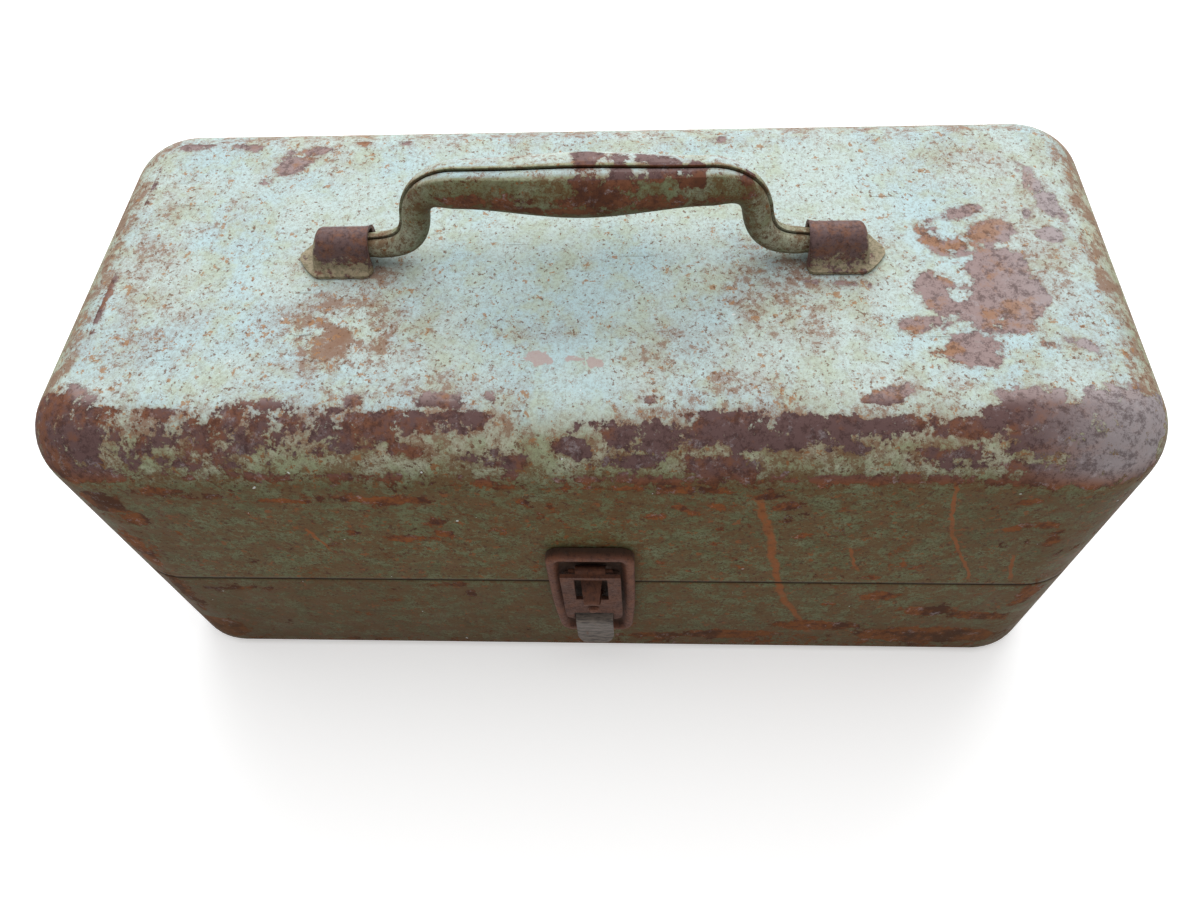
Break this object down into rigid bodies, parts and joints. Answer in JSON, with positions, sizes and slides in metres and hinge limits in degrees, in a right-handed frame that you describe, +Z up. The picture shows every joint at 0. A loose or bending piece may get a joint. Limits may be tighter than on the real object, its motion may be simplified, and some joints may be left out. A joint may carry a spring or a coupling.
{
  "type": "toolbox with tray",
  "caption": "Pressed steel toolbox with a hinged lid, a lift-up parts tray, a fold-down carrying handle and a front latch.",
  "frame": {"origin": "middle of the flat underside, on the surface the box stands on", "axes": "+X along the front to the right, +Y to the back (hinge side), +Z up"},
  "size_m": [0.4096, 0.1959, 0.2202],
  "materials": {
    "green_paint": "aged satin enamel over steel, scratched and rusted through at edges",
    "tray_paint": "aged satin enamel, lightly worn",
    "rusty_steel": "matt rust over bare steel, pitted",
    "worn_steel": "dull plated steel with rust specks"
  },
  "bodies": {
    "base": {"base_shell": "green_paint", "hinge_base_leaf_left": "worn_steel", "hinge_base_leaf_right": "worn_steel", "hinge_pin_left": "worn_steel", "hinge_pin_right": "worn_steel", "hinge_base_rivet_1": "worn_steel", "hinge_base_rivet_2": "worn_steel", "hinge_base_rivet_3": "worn_steel", "hinge_base_rivet_4": "worn_steel", "arm_base_rivet_left": "worn_steel", "arm_base_rivet_right": "worn_steel", "arm_spacer_left": "worn_steel", "arm_spacer_right": "worn_steel", "latch_keeper": "rusty_steel", "latch_keeper_rivet": "rusty_steel"},
    "lid": {"lid_shell": "green_paint", "hinge_lid_leaf_left": "worn_steel", "hinge_lid_leaf_right": "worn_steel", "hinge_lid_rivet_1": "worn_steel", "hinge_lid_rivet_2": "worn_steel", "hinge_lid_rivet_3": "worn_steel", "hinge_lid_rivet_4": "worn_steel", "lid_tray_rivet_left": "worn_steel", "lid_tray_rivet_right": "worn_steel", "tray_spacer_left": "worn_steel", "tray_spacer_right": "worn_steel", "handle_clip_left": "rusty_steel", "handle_clip_right": "rusty_steel", "latch_pan": "rusty_steel", "latch_pan_rivet_left": "rusty_steel", "latch_pan_rivet_right": "rusty_steel", "latch_staple": "rusty_steel", "latch_pin": "worn_steel"},
    "tray": {"tray_shell": "tray_paint", "tray_long_divider": "tray_paint", "tray_cross_divider_1": "tray_paint", "tray_cross_divider_2": "tray_paint", "tray_cross_divider_3": "tray_paint", "arm_tray_rivet_left": "worn_steel", "arm_tray_rivet_right": "worn_steel"},
    "tray_arms": {"tray_arm_left": "worn_steel", "tray_arm_right": "worn_steel"},
    "latch": {"latch_lever": "rusty_steel", "latch_thumb_tab": "worn_steel", "latch_tab_rivet": "rusty_steel"},
    "handle": {"handle": "green_paint"}
  },
  "joints": [
    {"name": "lid_hinge", "type": "hinge", "parent": "base", "child": "lid", "pos_m": [0, 0.0922, 0.07685], "axis": [-1, 0, 0], "range_deg": [0, 100]},
    {"name": "tray_pivot", "type": "hinge", "parent": "lid", "child": "tray", "pos_m": [0, 0.015, 0.105], "axis": [-1, 0, 0], "range_deg": [-100, 0]},
    {"name": "arm_pivot", "type": "hinge", "parent": "base", "child": "tray_arms", "pos_m": [0, 0.04, 0.05985], "axis": [-1, 0, 0], "range_deg": [0, 100]},
    {"name": "latch_pivot", "type": "hinge", "parent": "lid", "child": "latch", "pos_m": [0, -0.0933, 0.0956], "axis": [-1, 0, 0], "range_deg": [0, 100]},
    {"name": "handle_pivot", "type": "hinge", "parent": "lid", "child": "handle", "pos_m": [0, 0, 0.182], "axis": [1, 0, 0], "range_deg": [-78, 78]}
  ],
  "couplings": [
    {"joint": "tray_pivot", "follows": "lid_hinge", "ratio": -1},
    {"joint": "arm_pivot", "follows": "lid_hinge", "ratio": 1}
  ]
}
